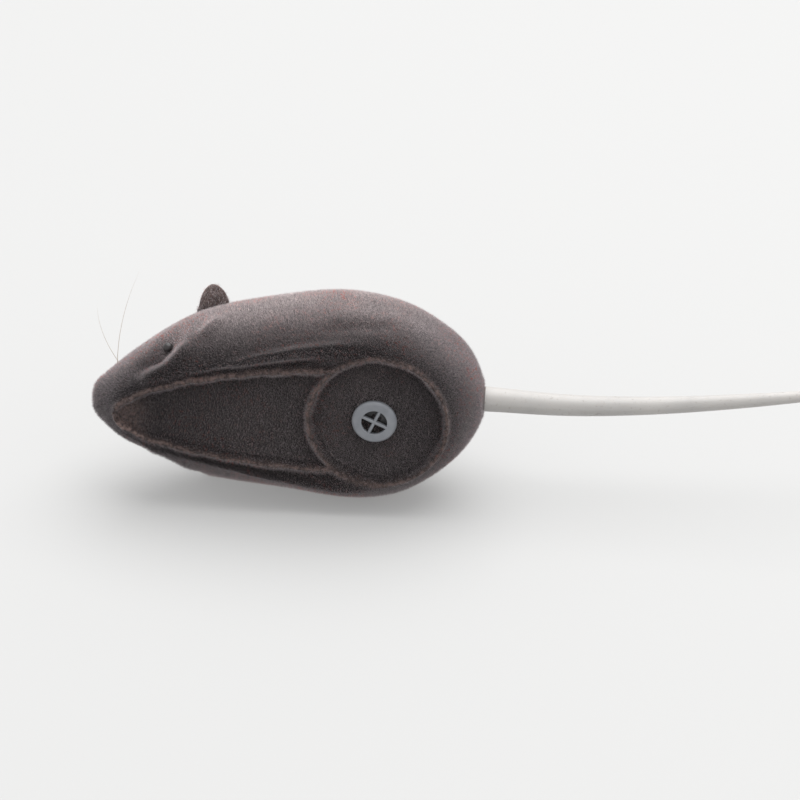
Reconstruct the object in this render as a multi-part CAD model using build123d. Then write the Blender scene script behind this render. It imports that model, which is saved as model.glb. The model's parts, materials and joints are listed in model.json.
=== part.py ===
"""Flocked squeaky mouse: a hollow soft vinyl squeeze toy that lies on its right side.

Millimetres. X runs from the nose to the tail. Y runs from the belly to the back.
Z runs from the mouse's right side, which lies down, to its left side.
Every piece is first made with the body's middle at the origin and the belly rim at y = 0.
The last step moves all of them so that the toy lies on z = 0, centred over the origin.
"""
from build123d import *
from math import copysign, cos, radians, sin, tan
import os

# ---- Overall sizes ----
BODY_LENGTH = 60.0
BODY_WIDTH = 32.4
BODY_HEIGHT = 23.2
TAIL_LENGTH = 75.0

# ---- Body shell ----
WALL = 1.5
SECTION_POWER = 2.25  # 2 is an ellipse; a little more gives the flatter flanks it lies on
SECTION_POINTS = 28
# Shares of the body's sizes at each station: how far from the nose, half width, height of the
# widest line, height of the back, and how far the full section reaches under the belly rim.
BODY_STATIONS = (
    (0.000, 0.055, 0.255, 0.295, -0.215),
    (0.008, 0.150, 0.255, 0.345, -0.165),
    (0.027, 0.222, 0.258, 0.400, -0.112),
    (0.057, 0.321, 0.272, 0.485, -0.030),
    (0.088, 0.401, 0.306, 0.573, 0.024),
    (0.118, 0.463, 0.349, 0.647, 0.047),
    (0.180, 0.605, 0.384, 0.759, 0.065),
    (0.272, 0.778, 0.392, 0.871, 0.069),
    (0.398, 0.883, 0.427, 0.948, 0.095),
    (0.525, 0.954, 0.457, 0.991, 0.112),
    (0.635, 1.000, 0.427, 1.000, 0.138),
    (0.735, 0.960, 0.414, 0.974, 0.147),
    (0.817, 0.852, 0.440, 0.914, 0.125),
    (0.883, 0.704, 0.461, 0.836, 0.052),
    (0.943, 0.512, 0.474, 0.741, -0.095),
    (0.977, 0.321, 0.457, 0.629, -0.224),
    (0.995, 0.165, 0.425, 0.540, -0.310),
)
CAVITY_FIRST = 4  # stations where the cavity starts and stops
CAVITY_LAST = 14

# ---- Belly: a sunken pan with a thin raised rim, and a round seat for the squeaker ----
RIM_WIDTH = 0.9
PAN_DEPTH = 1.0
PAN_TIP_FROM_NOSE = 3.3
PAN_TIP_SLOPE = 0.35  # how far the pan's sides open out, across per along, behind its round tip
PAN_HALF_WIDTHS = ((4.8, 2.2), (7.1, 3.6), (11.0, 5.1), (16.3, 6.5), (23.9, 8.05), (31.5, 8.65))
SEAT_FROM_NOSE = 43.5
SEAT_RADIUS = 10.9
SEAT_DEPTH = 1.3

# ---- Squeaker ----
FLANGE_RADIUS = 3.4
FLANGE_THICKNESS = 0.8
FLANGE_BEVEL = 0.3
BARREL_RADIUS = 2.8
BARREL_LENGTH = 8.0
BORE_RADIUS = 2.2
BEAD_HEIGHT = 0.45
BEAD_LENGTH = 0.9
GRILLE_RADIUS = 1.95
GRILLE_THICKNESS = 0.6
GRILLE_BAR = 0.5
GRILLE_TURN = 25.5  # degrees that the cross is turned about the squeaker's axis
SLIP = 0.02  # what a pushed-in piece is smaller than its hole, on the radius
REED_THICKNESS = 0.1
REED_WIDTH = 2.6
REED_LENGTH = 6.2
REED_LIFT = 6.0  # degrees that the blown reed lifts off its seat
REED_SPARE = 2.0  # degrees that the clamp is relieved further than the reed lifts
REED_GAP = 0.02
REED_FROM_GRILLE = 0.3  # room between the grille and the reed seat
TROUGH_WIDTH = 1.5
TROUGH_DEPTH = 0.9
TROUGH_LENGTH = 5.2
REED_SEAT_LENGTH = 6.8
CLAMP_LENGTH = 1.8

# ---- Ears ----
EAR_FROM_NOSE = 17.7
EAR_ROOT_HEIGHT = 15.3
EAR_ROOT_OUT = 10.9
EAR_LEAN = 15.0  # degrees from straight out, towards the belly
EAR_WIDTH = 5.2
EAR_LENGTH = 5.3
EAR_THICKNESS = 1.6
EAR_TIP_RADIUS = 1.3
EAR_BULGE_PLACE = 0.35  # where the rounder rear edge bulges, as a share of the length
EAR_SWING = 20.0  # degrees that an ear folds each way
EAR_SPARE = 1.0  # degrees that an ear's pocket is cut back further than it folds
EAR_GAP = 0.12

# ---- Eyes ----
EYE_FROM_NOSE = 12.0
EYE_HEIGHT = 5.2
EYE_RADIUS = 0.8
EYE_STAND = 0.2  # how far the bead's centre stands over its flat back, as a share of its radius
EYE_STUD_RADIUS = 0.4
EYE_STUD_LENGTH = 1.6
EYE_TURN = 24.0  # degrees that the eye looks forward
EYE_DIP = 10.0  # degrees that it looks towards the belly
EYE_HOLLOW_RADIUS = 3.2
EYE_HOLLOW_DEPTH = 1.5
EYE_SEAT = 0.13  # how far the bead's flat back stands off the bottom of the hollow

# ---- Whiskers: (tip x from nose, tip height, tip out) for each hair of a side ----
WHISKER_RADIUS = 0.08
WHISKER_ROOT = (3.4, 8.2, 3.6)
WHISKER_BEND = 0.9
WHISKER_STEP = (0.9, 0.5, 0.0)  # from one hair's root to the next
LEFT_WHISKER_TIPS = ((7.4, 8.9, 19.9), (0.7, 8.7, 14.0))
RIGHT_WHISKER_TIPS = ((7.5, 16.5, 12.5), (4.5, 15.0, 9.5))

# ---- Tail: (distance from the rump, radius), and (distance, rise to the left) ----
TAIL_RADII = ((0.0, 1.95), (6.7, 1.85), (16.0, 1.6), (26.0, 1.4), (36.0, 1.2), (46.0, 0.9), (75.0, 0.45))
TAIL_RISES = ((0.0, 0.0), (13.0, -0.6), (25.0, -0.2), (38.0, 1.0), (52.0, 2.8), (75.0, 6.0))
TAIL_JOINTS = (2.0, 13.0, 25.0, 38.0, 52.0)  # distance of each bending point from the rump
TAIL_HEIGHT = 9.8
TAIL_NECK_RADIUS = 1.5
TAIL_HEAD_RADIUS = 2.9
TAIL_HEAD_LENGTH = 1.6
TAIL_BEND = 30.0  # degrees that a link may turn
TAIL_GAP = 0.06
TAIL_SPARE = 6.0  # degrees that a link's cup is cut back further than it turns
TAIL_SHOULDER_GAP = 0.15

NOSE_X = -BODY_LENGTH / 2
SEAT_X = NOSE_X + SEAT_FROM_NOSE
RUMP_X = NOSE_X + BODY_STATIONS[-1][0] * BODY_LENGTH
CAVITY_END_X = NOSE_X + BODY_STATIONS[CAVITY_LAST][0] * BODY_LENGTH
LEFT, RIGHT = 1, -1
MESH_TOLERANCE = 0.01  # how closely the resting place is measured


def between(table, place):
    """The value at a place on a line through the (place, value) pairs of a table."""
    for (low, low_value), (high, high_value) in zip(table, table[1:]):
        if place <= high:
            return low_value + (high_value - low_value) * (place - low) / (high - low)
    return table[-1][1]


# ---- Body ----
def section_wire(station, inset):
    """One closed section of the body, drawn in from the outside by inset."""
    share, width, widest, back, keel = station
    x = NOSE_X + share * BODY_LENGTH
    half_width = width * BODY_WIDTH / 2 - inset
    middle = widest * BODY_HEIGHT
    rise = (back - widest) * BODY_HEIGHT - inset
    drop = (keel + widest) * BODY_HEIGHT - inset
    points = []
    for step in range(SECTION_POINTS):
        turn = radians(360 * step / SECTION_POINTS)
        out = copysign(abs(cos(turn)) ** (2 / SECTION_POWER), cos(turn))
        up = copysign(abs(sin(turn)) ** (2 / SECTION_POWER), sin(turn))
        points.append(Vector(x, middle + up * (rise if up > 0 else drop), out * half_width))
    return Wire([Edge.make_spline(points, periodic=True)])


def body_solid(stations, inset, floor):
    """The body's form, cut off flat at the height floor."""
    full = Solid.make_loft([section_wire(station, inset) for station in stations])
    size = 2 * BODY_LENGTH
    keep = Pos(0, floor + size / 2, 0) * Box(size, size, size)
    return full & keep


def pan_face(inset):
    """The belly pan's outline in the rim plane, drawn in by inset."""
    tip = (NOSE_X + PAN_TIP_FROM_NOSE + inset, 0)
    left = [(NOSE_X + x, width - inset) for x, width in PAN_HALF_WIDTHS]
    left.append((SEAT_X, PAN_HALF_WIDTHS[-1][1] - inset))
    right = [(x, -width) for x, width in reversed(left)]
    rounded_tip = Spline([right[-1], tip, left[0]], tangents=[(-1, PAN_TIP_SLOPE), (1, PAN_TIP_SLOPE)])
    sides = [*edges_of(left), Edge.make_line(left[-1], right[0]), *edges_of(right)]
    return Face(Wire([*sides, *rounded_tip.edges()]))


def edges_of(points):
    """Straight edges from point to point."""
    return [Edge.make_line(start, end) for start, end in zip(points, points[1:])]


BELLY = Plane(origin=(0, 0, 0), x_dir=(1, 0, 0), z_dir=(0, -1, 0))


def belly_cut(face, depth):
    """A cut of the given depth into the belly, from a face drawn in the rim plane."""
    return extrude(BELLY * face, amount=-depth) + extrude(BELLY * face, amount=WALL)


def on_squeaker_axis(height):
    """A plane across the squeaker's axis, its normal towards the back, turned with the grille."""
    turn = radians(GRILLE_TURN)
    return Plane(origin=(SEAT_X, height, 0), x_dir=(cos(turn), 0, -sin(turn)), z_dir=(0, 1, 0))


def eye_plane(side):
    """A plane on the face at the eye, its normal pointing out of the head."""
    share = EYE_FROM_NOSE / BODY_LENGTH
    half_width = between([(s[0], s[1]) for s in BODY_STATIONS], share) * BODY_WIDTH / 2
    normal = (-sin(radians(EYE_TURN)), -sin(radians(EYE_DIP)), side * cos(radians(EYE_TURN)))
    out = side * (half_width - EYE_HOLLOW_DEPTH)
    return Plane(origin=(NOSE_X + EYE_FROM_NOSE, EYE_HEIGHT, out), z_dir=normal)


def eye_hollow(side, grow):
    """The round hollow in the face that the eye sits in, grown by grow for the wall behind it."""
    return eye_plane(side) * Pos(0, 0, EYE_HOLLOW_RADIUS) * Sphere(EYE_HOLLOW_RADIUS + grow)


def ear_plane(side):
    """A plane in the ear's middle: x along the root, y from the root to the tip."""
    tip_way = Vector(0, -sin(radians(EAR_LEAN)), side * cos(radians(EAR_LEAN)))
    origin = (NOSE_X + EAR_FROM_NOSE, EAR_ROOT_HEIGHT, side * EAR_ROOT_OUT)
    return Plane(origin=origin, x_dir=(1, 0, 0), z_dir=Vector(1, 0, 0).cross(tip_way))


def ear_root(side, grow):
    """An ear's round root, which it folds about, grown all round by grow."""
    return ear_plane(side) * Rot(0, 90, 0) * Cylinder(EAR_THICKNESS / 2 + grow, EAR_WIDTH + 2 * grow)


def ear_leaf(side, grow):
    """An ear's leaf on its round root, grown all round by grow."""
    half = EAR_WIDTH / 2
    shoulder = EAR_LENGTH - EAR_TIP_RADIUS
    tip = Pos(0, shoulder) * Circle(EAR_TIP_RADIUS + grow)
    root = Rectangle(EAR_WIDTH + 2 * grow, EAR_THICKNESS / 2)
    bulge = Pos(half - EAR_TIP_RADIUS, EAR_BULGE_PLACE * EAR_LENGTH) * Circle(EAR_TIP_RADIUS + grow)
    outline = make_hull([*tip.edges(), *root.edges(), *bulge.edges()])
    leaf = extrude(outline, amount=EAR_THICKNESS / 2 + grow, both=True)
    return ear_plane(side) * leaf + ear_root(side, grow)


def ear_room(side):
    """The space that a folding ear sweeps, with its gap."""
    plane = ear_plane(side)
    axis = Axis(plane.origin, plane.x_dir)
    leaf = ear_leaf(side, EAR_GAP)
    room = leaf
    for share in (-1, -0.5, 0.5, 1):
        room += leaf.rotate(axis, share * (EAR_SWING + EAR_SPARE))
    return room


def make_body_shell():
    """The hollow vinyl body with its sunken belly, and holes for what is pushed into it."""
    outside = body_solid(BODY_STATIONS, 0, 0)
    inside = body_solid(BODY_STATIONS[CAVITY_FIRST:CAVITY_LAST + 1], WALL, PAN_DEPTH + WALL)
    for side in (LEFT, RIGHT):
        inside -= eye_hollow(side, WALL)
        inside -= ear_root(side, EAR_GAP + WALL)
    seat_room = on_squeaker_axis(0) * Cylinder(SEAT_RADIUS + WALL, 2 * (SEAT_DEPTH + WALL))
    shell = outside - (inside - seat_room)
    seat = Pos(SEAT_X, 0) * Circle(SEAT_RADIUS)
    seat_floor = Pos(SEAT_X, 0) * Circle(SEAT_RADIUS - RIM_WIDTH)
    shell -= belly_cut(pan_face(RIM_WIDTH) - seat, PAN_DEPTH)
    shell -= belly_cut(seat_floor, SEAT_DEPTH)
    shell -= on_squeaker_axis(0) * Cylinder(BARREL_RADIUS + SLIP, 4 * (SEAT_DEPTH + WALL))
    for side in (LEFT, RIGHT):
        shell -= eye_hollow(side, 0)
        shell -= eye_plane(side) * Cylinder(EYE_STUD_RADIUS + SLIP, 4 * WALL)
        shell -= ear_room(side)
    neck_hole = Pos(RUMP_X, TAIL_HEIGHT, 0) * Rot(0, 90, 0)
    shell -= neck_hole * Cylinder(TAIL_NECK_RADIUS + SLIP, 4 * (RUMP_X - CAVITY_END_X))
    return shell


# ---- Squeaker ----
def make_squeaker_housing():
    """The plastic plug: a bevelled flange, a barrel with a holding bead, and a cross grille."""
    face = SEAT_DEPTH - FLANGE_THICKNESS
    wall_end = SEAT_DEPTH + WALL + SLIP
    end = SEAT_DEPTH + BARREL_LENGTH
    outline = [
        (GRILLE_RADIUS, face),
        (FLANGE_RADIUS - FLANGE_BEVEL, face),
        (FLANGE_RADIUS, face + FLANGE_BEVEL),
        (FLANGE_RADIUS, SEAT_DEPTH),
        (BARREL_RADIUS, SEAT_DEPTH),
        (BARREL_RADIUS, wall_end),
        (BARREL_RADIUS + BEAD_HEIGHT, wall_end),
        (BARREL_RADIUS, wall_end + BEAD_LENGTH),
        (BARREL_RADIUS, end),
        (BORE_RADIUS, end),
        (BORE_RADIUS, face + GRILLE_THICKNESS),
        (GRILLE_RADIUS, face + GRILLE_THICKNESS),
        (GRILLE_RADIUS, face),
    ]
    profile = Plane.XZ * Face(Wire(edges_of(outline)))
    plug = on_squeaker_axis(0) * revolve(profile, Axis.Z)
    middle = on_squeaker_axis(face + GRILLE_THICKNESS / 2)
    reach = 2 * GRILLE_RADIUS + 2 * SLIP
    plug += middle * Box(reach, GRILLE_BAR, GRILLE_THICKNESS)
    plug += middle * Box(GRILLE_BAR, reach, GRILLE_THICKNESS)
    return plug


def squeaker_inner_end():
    """Height of the reed seat's inner end, which is also the reed's root."""
    return SEAT_DEPTH - FLANGE_THICKNESS + GRILLE_THICKNESS + REED_FROM_GRILLE + REED_SEAT_LENGTH


def half_round(length, low, side):
    """Half of a rod in the bore, from the inner end outwards, flat face at distance low."""
    middle = on_squeaker_axis(squeaker_inner_end() - length / 2)
    rod = Cylinder(BORE_RADIUS - SLIP, length)
    keep = Pos(0, side * (low + BORE_RADIUS), 0) * Box(4 * BORE_RADIUS, 2 * BORE_RADIUS, 2 * length)
    return middle * (rod & keep)


def make_reed_seat():
    """The half rod that the reed lies on, with a trough open towards the grille."""
    seat = half_round(REED_SEAT_LENGTH, 0, -1)
    outer = squeaker_inner_end() - REED_SEAT_LENGTH
    trough = on_squeaker_axis(outer + TROUGH_LENGTH / 2)
    return seat - trough * Box(TROUGH_WIDTH, 2 * TROUGH_DEPTH, TROUGH_LENGTH)


def make_reed():
    """The thin film strip that buzzes."""
    middle = on_squeaker_axis(squeaker_inner_end() - REED_LENGTH / 2)
    blade = Pos(0, REED_GAP + REED_THICKNESS / 2, 0) * Box(REED_WIDTH, REED_THICKNESS, REED_LENGTH)
    return middle * blade


def make_reed_clamp():
    """The short half rod that holds the reed's root, relieved so that the blade can lift."""
    low = REED_GAP + REED_THICKNESS + REED_GAP
    clamp = half_round(CLAMP_LENGTH, low, 1)
    relief = CLAMP_LENGTH * tan(radians(REED_LIFT + REED_SPARE))
    wedge = Polygon((0, 0), (-CLAMP_LENGTH, 0), (-CLAMP_LENGTH, -relief), align=None)
    cutter = Plane(origin=(0, low, 0), x_dir=(0, 0, 1), z_dir=(1, 0, 0)) * wedge
    return clamp - on_squeaker_axis(squeaker_inner_end()) * extrude(cutter, amount=BORE_RADIUS, both=True)


# ---- Eyes, ears, whiskers ----
def make_eye(side):
    """A shiny bead with a stud that is pushed into the vinyl."""
    size = 4 * EYE_RADIUS
    bead = Pos(0, 0, EYE_SEAT + EYE_STAND * EYE_RADIUS) * Sphere(EYE_RADIUS)
    bead &= Pos(0, 0, EYE_SEAT + size / 2) * Box(size, size, size)
    stud = Pos(0, 0, EYE_SEAT - EYE_STUD_LENGTH / 2) * Cylinder(EYE_STUD_RADIUS, EYE_STUD_LENGTH)
    return eye_plane(side) * (bead + stud)


def make_whiskers(side, tips):
    """The fine hairs of one side, each an arc from the snout to its tip."""
    root_x, root_height, root_out = WHISKER_ROOT
    root = Vector(NOSE_X + root_x, root_height, side * root_out)
    hairs = []
    for tip_x, tip_height, tip_out in tips:
        tip = Vector(NOSE_X + tip_x, tip_height, side * tip_out)
        middle = (root + tip) / 2 + Vector(-WHISKER_BEND, 0, 0)
        path = Edge.make_three_point_arc(root, middle, tip)
        start = Plane(origin=root, z_dir=path % 0)
        hairs.append(sweep(start * Circle(WHISKER_RADIUS), path=Wire([path])))
        root = root + Vector(*WHISKER_STEP)
    return Compound(hairs)


# ---- Tail ----
def tail_point(distance):
    """The middle of the tail at a distance from the rump."""
    return Vector(RUMP_X + distance, TAIL_HEIGHT, between(TAIL_RISES, distance))


def tail_radius(distance):
    """The radius of the tail at a distance from the rump."""
    return between(TAIL_RADII, distance)


def tapered_run(start, end):
    """A round tapered solid from one distance to another."""
    way = tail_point(end) - tail_point(start)
    plane = Plane(origin=tail_point(start), z_dir=way)
    cone = Cone(tail_radius(start), tail_radius(end), way.length, align=(Align.CENTER, Align.CENTER, Align.MIN))
    return plane * cone


def round_end(distance, grow=0.0):
    """A ball in the middle of the tail."""
    return Pos(*tail_point(distance)) * Sphere(tail_radius(distance) + grow)


def make_tail_plug():
    """The tail's root: a head inside the shell, a neck in its wall and a stub outside."""
    neck_length = RUMP_X - CAVITY_END_X
    along = Pos(RUMP_X, TAIL_HEIGHT, 0) * Rot(0, 90, 0)
    neck = along * Pos(0, 0, -neck_length / 2) * Cylinder(TAIL_NECK_RADIUS, neck_length)
    head_middle = -neck_length - SLIP - TAIL_HEAD_LENGTH / 2
    head = along * Pos(0, 0, head_middle) * Cylinder(TAIL_HEAD_RADIUS, TAIL_HEAD_LENGTH)
    join = along * Pos(0, 0, -neck_length) * Cylinder(TAIL_NECK_RADIUS, 2 * SLIP)
    stub = tapered_run(TAIL_SHOULDER_GAP, TAIL_JOINTS[0])
    bridge = along * Cylinder(TAIL_NECK_RADIUS, 3 * TAIL_SHOULDER_GAP)
    return neck + join + head + bridge + stub + round_end(TAIL_JOINTS[0])


def make_tail_link(number):
    """One stretch of the tail: a cup over the last ball, a taper, and a ball for the next."""
    start = TAIL_JOINTS[number]
    cup_depth = tail_radius(start) * tan(radians(TAIL_BEND + TAIL_SPARE))
    last = number == len(TAIL_JOINTS) - 1
    end = TAIL_LENGTH if last else TAIL_JOINTS[number + 1]
    way = tail_point(end) - tail_point(start)
    link = tapered_run(start, end) + round_end(end)
    link -= round_end(start, TAIL_GAP)
    size = 4 * tail_radius(start)
    behind = Plane(origin=tail_point(start), z_dir=way)
    link -= behind * Pos(0, 0, cup_depth - size / 2) * Box(size, size, size)
    return link


def make_all():
    """Every node's solid, in the body's own frame."""
    nodes = {
        "body_shell": make_body_shell(),
        "squeaker_housing": make_squeaker_housing(),
        "squeaker_reed_seat": make_reed_seat(),
        "squeaker_reed": make_reed(),
        "squeaker_reed_clamp": make_reed_clamp(),
        "ear_left": ear_leaf(LEFT, 0),
        "ear_right": ear_leaf(RIGHT, 0),
        "eye_left": make_eye(LEFT),
        "eye_right": make_eye(RIGHT),
        "whiskers_left": make_whiskers(LEFT, LEFT_WHISKER_TIPS),
        "whiskers_right": make_whiskers(RIGHT, RIGHT_WHISKER_TIPS),
        "tail_plug": make_tail_plug(),
    }
    for number in range(len(TAIL_JOINTS)):
        nodes[f"tail_link_{number + 1}"] = make_tail_link(number)
    return nodes


def resting_shift(nodes):
    """The move that puts the toy on z = 0 and centres it over the origin."""
    spots = [spot for shape in nodes.values() for spot in shape.tessellate(MESH_TOLERANCE)[0]]
    xs, ys, zs = ([getattr(spot, axis) for spot in spots] for axis in "XYZ")
    return Vector(-(min(xs) + max(xs)) / 2, -(min(ys) + max(ys)) / 2, -min(zs))


def place_and_write(nodes):
    """Moves every piece to its resting place and writes it."""
    shift = resting_shift(nodes)
    os.makedirs("parts", exist_ok=True)
    for name, shape in nodes.items():
        export_step(Pos(*shift) * shape, f"parts/{name}.step")
    reed_root = on_squeaker_axis(squeaker_inner_end()) * Pos(0, REED_GAP + REED_THICKNESS / 2, 0)
    axes = {"reed_flutter": reed_root.position}
    for side, ear in ((LEFT, "ear_left_fold"), (RIGHT, "ear_right_fold")):
        axes[ear] = ear_plane(side).origin
    for number, distance in enumerate(TAIL_JOINTS):
        axes[f"tail_bend_{number + 1}"] = tail_point(distance)
    for name, place in axes.items():
        spot = place + shift
        print(f"{name}: {spot.X:.3f} {spot.Y:.3f} {spot.Z:.3f}")
    print(f"shift: {shift.X:.3f} {shift.Y:.3f} {shift.Z:.3f}")


place_and_write(make_all())
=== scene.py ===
# %% [markdown]
# # A flocked squeaky mouse
# A little hollow mouse of soft vinyl, covered in short velvet pile called flock, lies on its right side.
# A plastic squeaker is plugged into its sunken belly, and a long smooth vinyl tail is plugged into its rump.
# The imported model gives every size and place, in metres: X from nose to tail, Y from belly to back, Z up,
# from the mouse's right side to its left side. This lesson builds a finished surface round that frame.

# %% Load the frame
import json
import math

import bmesh
import bpy
import numpy as np
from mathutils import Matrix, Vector
from mathutils.bvhtree import BVHTree


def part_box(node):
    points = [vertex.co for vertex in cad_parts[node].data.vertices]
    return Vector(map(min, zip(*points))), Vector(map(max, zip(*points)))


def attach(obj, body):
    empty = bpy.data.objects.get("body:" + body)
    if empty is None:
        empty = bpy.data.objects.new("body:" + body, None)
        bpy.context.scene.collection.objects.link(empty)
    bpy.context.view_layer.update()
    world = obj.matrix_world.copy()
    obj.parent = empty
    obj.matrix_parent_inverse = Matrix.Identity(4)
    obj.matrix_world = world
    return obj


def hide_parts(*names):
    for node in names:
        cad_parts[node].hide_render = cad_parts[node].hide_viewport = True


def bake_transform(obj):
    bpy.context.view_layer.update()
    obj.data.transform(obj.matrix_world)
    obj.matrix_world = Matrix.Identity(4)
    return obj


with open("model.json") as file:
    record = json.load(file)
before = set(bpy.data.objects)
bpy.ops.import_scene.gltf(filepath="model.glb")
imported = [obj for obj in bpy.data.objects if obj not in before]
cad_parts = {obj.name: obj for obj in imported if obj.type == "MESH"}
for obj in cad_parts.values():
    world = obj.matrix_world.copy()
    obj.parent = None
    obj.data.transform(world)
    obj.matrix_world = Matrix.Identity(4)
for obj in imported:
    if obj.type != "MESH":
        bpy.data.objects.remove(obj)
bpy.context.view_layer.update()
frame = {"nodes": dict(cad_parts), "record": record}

MM = 0.001
LEFT, RIGHT = 1, -1

# %% [markdown]
# ## Where things are
# A maker measures a mouse from its nose tip, from its belly rim and from its middle plane.
# `at` turns such a place (millimetres along, up from the belly, out to the left) into the frame.

# %% Places on the mouse
shell_low, shell_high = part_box("body_shell")
NOSE_X = shell_low.x
BELLY_Y = shell_low.y
MIDDLE_Z = (shell_low.z + shell_high.z) / 2
BODY_LENGTH = (shell_high.x - shell_low.x) / MM


def at(along, up, out):
    """A point in the frame, from millimetres on the mouse."""
    return Vector((NOSE_X + along * MM, BELLY_Y + up * MM, MIDDLE_Z + out * MM))


def on_mouse(points):
    """Millimetres on the mouse, from an array of points in the frame."""
    return (points - np.array([NOSE_X, BELLY_Y, MIDDLE_Z])) / MM


joint_at = {joint["name"]: Vector(joint["pos_m"]) for joint in frame["record"]["behaviour"]["joints"]}
print("body", [round(v / MM, 2) for v in (shell_high - shell_low)], "mm; joints:", len(joint_at))

# %% [markdown]
# ## The camera
# A long lens from some way off keeps the shapes flat and true, as in a catalogue picture.
# It looks down a little and comes from slightly right of square.

# %% Camera
VIEW_TURN = math.radians(4.4)
VIEW_TILT = math.radians(27.0)
VIEW_LENS = 120.0
VIEW_WIDTH = 0.1222
VIEW_MIDDLE = at(46.8, 8.4, 0.0)

camera_data = bpy.data.cameras.new("camera")
camera_data.lens = VIEW_LENS
camera = bpy.data.objects.new("camera", camera_data)
bpy.context.scene.collection.objects.link(camera)
back = Vector((
    math.sin(VIEW_TURN) * math.cos(VIEW_TILT),
    -math.cos(VIEW_TURN) * math.cos(VIEW_TILT),
    math.sin(VIEW_TILT),
))
distance = VIEW_WIDTH * VIEW_LENS / camera_data.sensor_width
camera.location = VIEW_MIDDLE + back * distance
camera.rotation_euler = (-back).to_track_quat("-Z", "Y").to_euler()
camera_data.clip_start = 0.01
camera_data.clip_end = 20.0
bpy.context.scene.camera = camera
print("camera", round(distance, 3), "m away")


# %% Mesh helpers
def new_piece(name, points, faces, material, smooth=True):
    """A mesh object from points in metres and faces, at the origin."""
    mesh = bpy.data.meshes.new(name)
    mesh.from_pydata([tuple(point) for point in points], [], faces)
    mesh.update()
    mesh.polygons.foreach_set("use_smooth", [smooth] * len(mesh.polygons))
    mesh.materials.append(material)
    piece = bpy.data.objects.new(name, mesh)
    bpy.context.scene.collection.objects.link(piece)
    return piece


def face_outwards(piece):
    """Recalculates a closed piece's normals so that they point out."""
    work = bmesh.new()
    work.from_mesh(piece.data)
    bmesh.ops.recalc_face_normals(work, faces=work.faces)
    work.to_mesh(piece.data)
    work.free()
    piece.data.update()


def rings_to_tube(rings, first_pole=None, last_pole=None):
    """Points and faces of a skin through equal rings, closed at each end by a pole if one is given."""
    count = len(rings[0])
    points = [point for ring in rings for point in ring]
    faces = []
    for row in range(len(rings) - 1):
        for step in range(count):
            following = (step + 1) % count
            low, high = row * count, (row + 1) * count
            faces.append((low + step, low + following, high + following, high + step))
    if first_pole is not None:
        points.append(first_pole)
        pole = len(points) - 1
        faces += [(pole, (step + 1) % count, step) for step in range(count)]
    if last_pole is not None:
        points.append(last_pole)
        pole = len(points) - 1
        low = (len(rings) - 1) * count
        faces += [(pole, low + step, low + (step + 1) % count) for step in range(count)]
    return points, faces


def ease(value):
    """A smooth step from 0 to 1, for numbers or arrays."""
    held = np.clip(value, 0.0, 1.0)
    return held * held * (3 - 2 * held)


print("helpers ready")

# %% [markdown]
# ## Materials: flock
# Flock is millions of upright fibres. Seen straight on it is nearly black, because light falls between
# them; seen at a slant it turns pale, because the fibres' sides catch it. The Principled shader's sheen
# gives that pale edge. Noise at the size of a tuft gives the grain, and a few fibres are rust brown.
# This is the ground between the fibres; the fibres themselves are grown on it later, one by one.


# %% Node helpers
def new_material(name):
    """An empty node material: its tree, its Principled node and its Object coordinates."""
    material = bpy.data.materials.new(name)
    material.use_nodes = True
    tree = material.node_tree
    shader = tree.nodes["Principled BSDF"]
    place = tree.nodes.new("ShaderNodeTexCoord")
    return material, tree, shader, place.outputs["Object"]


def noise(tree, place, grain_mm, detail=2.0, roughness=0.5):
    """A noise pattern whose grains are about grain_mm across. Returns its value output."""
    node = tree.nodes.new("ShaderNodeTexNoise")
    node.inputs["Scale"].default_value = 1 / (grain_mm * MM)
    node.inputs["Detail"].default_value = detail
    node.inputs["Roughness"].default_value = roughness
    tree.links.new(place, node.inputs["Vector"])
    return node.outputs["Fac"]


def ramp(tree, value, stops):
    """Colours along a value, from (position, colour) stops."""
    node = tree.nodes.new("ShaderNodeValToRGB")
    elements = node.color_ramp.elements
    while len(elements) < len(stops):
        elements.new(0.5)
    for element, (position, colour) in zip(elements, stops):
        element.position = position
        element.color = (*colour, 1.0)
    tree.links.new(value, node.inputs["Fac"])
    return node.outputs["Color"]


def blend_colours(tree, share, first, second, way="MIX"):
    """Mixes two colour outputs by a value output or a number."""
    node = tree.nodes.new("ShaderNodeMix")
    node.data_type = "RGBA"
    node.blend_type = way
    if isinstance(share, float):
        node.inputs["Factor"].default_value = share
    else:
        tree.links.new(share, node.inputs["Factor"])
    for socket, colour in (("A", first), ("B", second)):
        target = [i for i in node.inputs if i.name == socket and i.type == "RGBA"][0]
        if isinstance(colour, tuple):
            target.default_value = (*colour, 1.0)
        else:
            tree.links.new(colour, target)
    return [o for o in node.outputs if o.type == "RGBA"][0]


def bump(tree, shader, height, depth_mm, strength=1.0):
    """Sends a height pattern to the shader as bump, depth_mm deep."""
    node = tree.nodes.new("ShaderNodeBump")
    node.inputs["Strength"].default_value = strength
    node.inputs["Distance"].default_value = depth_mm * MM
    tree.links.new(height, node.inputs["Height"])
    tree.links.new(node.outputs["Normal"], shader.inputs["Normal"])
    return node


def black_and_white(low, high):
    """Ramp stops from black at low to white at high."""
    return [(low, (0, 0, 0)), (high, (1, 1, 1))]


print("node helpers ready")

# %% Flock material
# Painted shade: the colour is darkened towards the belly, the snout and the rump. For each: the axis,
# where the painted shade starts on it, and over how many millimetres it fades out.
PAINTED_SHADE_RUNS = (("Y", BELLY_Y, 7), ("X", NOSE_X, 24), ("X", shell_high.x, -18))


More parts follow.
